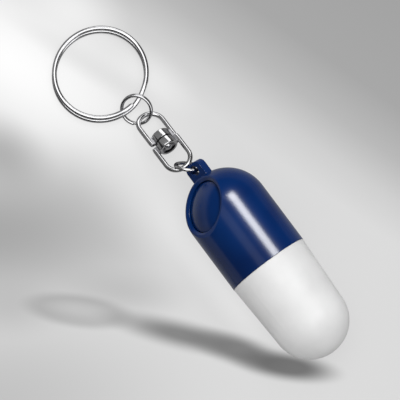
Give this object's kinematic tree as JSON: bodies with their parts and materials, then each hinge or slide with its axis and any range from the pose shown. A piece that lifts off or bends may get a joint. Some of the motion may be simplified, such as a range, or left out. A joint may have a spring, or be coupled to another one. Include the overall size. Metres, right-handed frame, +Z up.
{
  "type": "pill-shaped key fob light",
  "caption": "Capsule-shaped push-button light for keys, blue casing and milky white cap, on a swivel chain with a split key ring.",
  "frame": {"origin": "the point on the table straight under the seam between the blue and the white half, on the pill's centre line", "axes": "+X along the pill towards the white cap's tip, +Z up from the table, +Y to the left when looking along +X"},
  "size_m": [0.1301, 0.0348, 0.0268],
  "materials": {
    "blue_shell": "satin",
    "white_shell": "satin, milky",
    "nickel_wire": "polished",
    "rivet_steel": "polished",
    "black_plastic": "matte",
    "plunger_plastic": "matte",
    "board": "satin",
    "screw_steel": "satin",
    "cell_can": "satin",
    "contact_brass": "satin",
    "lens": "clear",
    "chip": "matte",
    "wire_red": "satin",
    "seal_rubber": "matte"
  },
  "bodies": {
    "casing_body": {"top_casing": "blue_shell", "switch_body": "black_plastic", "switch_board": "board", "switch_screws": "screw_steel", "battery_carrier": "black_plastic", "rear_cell": "cell_can", "front_cell": "cell_can", "rear_contact": "contact_brass", "front_contact": "contact_brass", "light_board": "board", "board_screws": "screw_steel", "led_lens": "lens", "led_leads": "screw_steel", "resistor": "chip", "lead_wires": "wire_red"},
    "button": {"push_button": "blue_shell"},
    "plunger": {"switch_plunger": "plunger_plastic"},
    "cover": {"diffuser": "white_shell", "seal_ring": "seal_rubber"},
    "lug_ring": {"lower_ring": "nickel_wire"},
    "swivel_lower": {"swivel_lower_loop": "nickel_wire", "swivel_rivet": "rivet_steel"},
    "swivel_upper": {"swivel_upper_loop": "nickel_wire"},
    "jump_link": {"jump_ring": "nickel_wire"},
    "keys_ring": {"key_ring": "nickel_wire"}
  },
  "joints": [
    {"name": "button_press", "type": "slide", "parent": "casing_body", "child": "button", "axis": [0.5299, 0.6162, -0.5827], "range_m": [0, 0.0006], "stiffness_N_per_m": 1500},
    {"name": "plunger_press", "type": "slide", "parent": "casing_body", "child": "plunger", "axis": [0.5299, 0.6162, -0.5827], "range_m": [0, 0.0006]},
    {"name": "cover_pull", "type": "slide", "parent": "casing_body", "child": "cover", "axis": [1, 0, 0], "range_m": [0, 0.012]},
    {"name": "lower_ring_swing", "type": "hinge", "parent": "casing_body", "child": "lug_ring", "pos_m": [-0.03715, 0, 0.0134], "axis": [0, -0.7266, 0.6871], "range_deg": [-45, 45]},
    {"name": "swivel_tilt", "type": "hinge", "parent": "lug_ring", "child": "swivel_lower", "pos_m": [-0.04044, -0.00262, 0.01093], "axis": [0.0262, 0.9997, 0], "range_deg": [-40, 60]},
    {"name": "swivel_spin", "type": "hinge", "parent": "swivel_lower", "child": "swivel_upper", "pos_m": [-0.05138, -0.00234, 0.0064], "axis": [0.9237, -0.0242, 0.3823], "continuous": true},
    {"name": "jump_ring_swing", "type": "hinge", "parent": "swivel_upper", "child": "jump_link", "pos_m": [-0.06233, -0.00205, 0.00187], "axis": [0.143, 0.9476, -0.2855], "range_deg": [-40, 60]},
    {"name": "key_ring_swing", "type": "hinge", "parent": "jump_link", "child": "keys_ring", "pos_m": [-0.06719, -0.00356, 0.00354], "axis": [-0.1993, 0.9798, -0.0164], "range_deg": [-60, 50]}
  ],
  "couplings": [
    {"joint": "plunger_press", "follows": "button_press", "ratio": 1}
  ]
}
